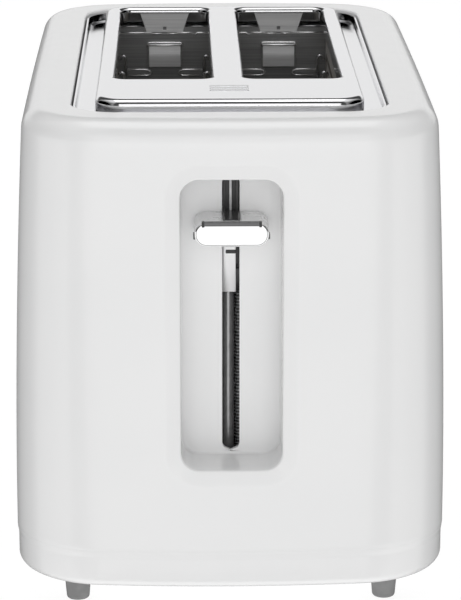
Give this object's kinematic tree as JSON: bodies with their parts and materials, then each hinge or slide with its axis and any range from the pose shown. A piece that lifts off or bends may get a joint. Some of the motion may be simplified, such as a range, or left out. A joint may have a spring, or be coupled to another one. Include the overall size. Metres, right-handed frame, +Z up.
{
  "type": "pop up toaster",
  "caption": "Two-slot pop-up toaster with an end lever, steel top deck, side controls and a crumb tray.",
  "frame": {"origin": "on the table, under the middle of the body", "axes": "+Z up, the lever end faces -Y, +X to the right when facing the lever end"},
  "size_m": [0.1668, 0.277, 0.1932],
  "materials": {
    "white_gloss": "glossy white moulding",
    "grip_white": "glossy white moulding",
    "deck_steel": "bright pressed steel",
    "bright_cap": "polished",
    "bright_strip": "bright plated steel",
    "dark_plate": "heat-darkened steel",
    "reflector_steel": "aluminised steel",
    "frame_steel": "galvanised steel",
    "rod_steel": "dark polished rod",
    "spring_steel": "spring wire",
    "guide_wire": "plated wire",
    "black_moulding": "black",
    "mica": "mica sheet",
    "ribbon_alloy": "resistance alloy",
    "soft_iron": "bare",
    "copper_winding": "enamelled winding",
    "contact_brass": "bare",
    "white_insulator": "moulded",
    "panel_grey": "satin",
    "dial_white": "glossy",
    "button_white": "satin",
    "lens_blue": "clear",
    "board_green": "laminate",
    "component_black": "moulded",
    "foot_rubber": "grey",
    "screw_steel": "zinc plated",
    "tray_steel": "pressed",
    "gland_grey": "moulded"
  },
  "bodies": {
    "housing": {"outer_shell": "white_gloss", "base_cover": "white_gloss", "base_screws": "screw_steel", "frame_screws": "screw_steel", "top_deck": "deck_steel", "front_end_plate": "frame_steel", "rear_end_plate": "dark_plate", "side_reflector_right": "reflector_steel", "side_reflector_left": "reflector_steel", "centre_shield": "reflector_steel", "rod_bracket": "frame_steel", "guide_rod": "rod_steel", "spring_pin": "rod_steel", "lift_spring": "spring_steel", "magnet_bracket": "frame_steel", "magnet_core": "soft_iron", "magnet_coil": "copper_winding", "contact_block": "white_insulator", "power_contacts": "contact_brass", "control_panel": "panel_grey", "potentiometer": "component_black", "indicator_lenses": "lens_blue", "push_switches": "component_black", "control_board": "board_green", "board_components": "component_black", "terminal_block": "white_insulator", "cord_gland": "gland_grey", "foot_front_left": "foot_rubber", "foot_front_right": "foot_rubber", "foot_rear_left": "foot_rubber", "foot_rear_right": "foot_rubber", "heater_card_right_inner": "mica", "heater_ribbon_right_inner": "ribbon_alloy", "heater_card_right_outer": "mica", "heater_ribbon_right_outer": "ribbon_alloy", "heater_card_left_inner": "mica", "heater_ribbon_left_inner": "ribbon_alloy", "heater_card_left_outer": "mica", "heater_ribbon_left_outer": "ribbon_alloy"},
    "carriage": {"lever_knob": "grip_white", "knob_cap": "bright_cap", "lever_arm": "black_moulding", "slot_shutter": "black_moulding", "lever_bracket": "bright_strip", "carriage_block": "black_moulding", "carriage_plate": "frame_steel", "bread_rack_left": "frame_steel", "bread_rack_right": "frame_steel", "armature_plate": "soft_iron"},
    "dial": {"browning_dial": "dial_white", "dial_shaft": "white_insulator"},
    "stop_button": {"stop_button": "button_white"},
    "reheat_button": {"reheat_button": "button_white"},
    "defrost_button": {"defrost_button": "button_white"},
    "tray": {"crumb_tray": "tray_steel", "crumb_tray_front": "white_gloss"},
    "guide_right_inner": {"bread_guide_right_inner": "guide_wire"},
    "guide_right_outer": {"bread_guide_right_outer": "guide_wire"},
    "guide_left_inner": {"bread_guide_left_inner": "guide_wire"},
    "guide_left_outer": {"bread_guide_left_outer": "guide_wire"}
  },
  "joints": [
    {"name": "lever_slide", "type": "slide", "parent": "housing", "child": "carriage", "axis": [0, 0, -1], "range_m": [0, 0.08], "stiffness_N_per_m": 60, "springref_m": -0.1, "deforming": ["lift_spring"]},
    {"name": "guide_right_inner_swing", "type": "hinge", "parent": "housing", "child": "guide_right_inner", "pos_m": [0.008, 0, 0.036], "axis": [0, 1, 0], "range_deg": [0, 2.6]},
    {"name": "guide_right_outer_swing", "type": "hinge", "parent": "housing", "child": "guide_right_outer", "pos_m": [0.0425, 0, 0.036], "axis": [0, -1, 0], "range_deg": [0, 2.6]},
    {"name": "guide_left_inner_swing", "type": "hinge", "parent": "housing", "child": "guide_left_inner", "pos_m": [-0.008, 0, 0.036], "axis": [0, -1, 0], "range_deg": [0, 2.6]},
    {"name": "guide_left_outer_swing", "type": "hinge", "parent": "housing", "child": "guide_left_outer", "pos_m": [-0.0425, 0, 0.036], "axis": [0, 1, 0], "range_deg": [0, 2.6]},
    {"name": "dial_turn", "type": "hinge", "parent": "housing", "child": "dial", "pos_m": [-0.0755, -0.0665, 0.07], "axis": [1, 0, 0], "range_deg": [-135, 135]},
    {"name": "stop_press", "type": "slide", "parent": "housing", "child": "stop_button", "axis": [1, 0, 0], "range_m": [0, 0.002], "stiffness_N_per_m": 300, "springref_m": -0.003},
    {"name": "reheat_press", "type": "slide", "parent": "housing", "child": "reheat_button", "axis": [1, 0, 0], "range_m": [0, 0.002], "stiffness_N_per_m": 300, "springref_m": -0.003},
    {"name": "defrost_press", "type": "slide", "parent": "housing", "child": "defrost_button", "axis": [1, 0, 0], "range_m": [0, 0.002], "stiffness_N_per_m": 300, "springref_m": -0.003},
    {"name": "tray_slide", "type": "slide", "parent": "housing", "child": "tray", "axis": [0, 1, 0], "range_m": [0, 0.2]}
  ],
  "couplings": [
    {"joint": "guide_right_inner_swing", "follows": "lever_slide", "rad_per_m": 0.545},
    {"joint": "guide_right_outer_swing", "follows": "lever_slide", "rad_per_m": 0.545},
    {"joint": "guide_left_inner_swing", "follows": "lever_slide", "rad_per_m": 0.545},
    {"joint": "guide_left_outer_swing", "follows": "lever_slide", "rad_per_m": 0.545}
  ]
}
